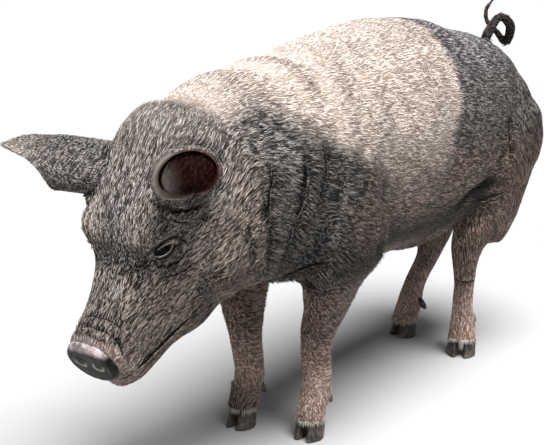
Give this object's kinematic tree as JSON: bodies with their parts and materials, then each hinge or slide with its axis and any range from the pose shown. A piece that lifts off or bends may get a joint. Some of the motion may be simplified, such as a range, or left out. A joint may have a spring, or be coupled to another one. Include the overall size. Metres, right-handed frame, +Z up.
{
  "type": "pig",
  "caption": "Life-size standing pig with its head lowered, a curled tail, cloven feet and short bristles in pale and dark areas; a still model.",
  "frame": {"origin": "middle of the whole pig's bounding box, on the floor that the claws stand on", "axes": "+Z up, -Y towards the nose, +X to the pig's left"},
  "size_m": [0.3864, 1.4076, 0.7945],
  "materials": {
    "pale_coat": "cream bristles over pink skin",
    "dark_coat": "dark grey-brown bristles over grey skin",
    "nose_skin": "damp bare skin",
    "eye": "wet",
    "horn": "worn horn"
  },
  "bodies": {
    "root": {"trunk": "pale_coat", "neck": "dark_coat", "head": "dark_coat", "ear_left": "dark_coat", "ear_right": "dark_coat", "tail_root": "dark_coat", "tail_curl": "dark_coat", "tail_tip": "dark_coat", "leg_fore_left": "dark_coat", "leg_fore_right": "dark_coat", "leg_hind_left": "dark_coat", "leg_hind_right": "dark_coat", "nose": "nose_skin", "eye_left": "eye", "eye_right": "eye", "claw_fore_left_left": "horn", "dewclaw_fore_left_left": "horn", "claw_fore_left_right": "horn", "dewclaw_fore_left_right": "horn", "claw_fore_right_left": "horn", "dewclaw_fore_right_left": "horn", "claw_fore_right_right": "horn", "dewclaw_fore_right_right": "horn", "claw_hind_left_left": "horn", "dewclaw_hind_left_left": "horn", "claw_hind_left_right": "horn", "dewclaw_hind_left_right": "horn", "claw_hind_right_left": "horn", "dewclaw_hind_right_left": "horn", "claw_hind_right_right": "horn", "dewclaw_hind_right_right": "horn"}
  },
  "joints": []
}
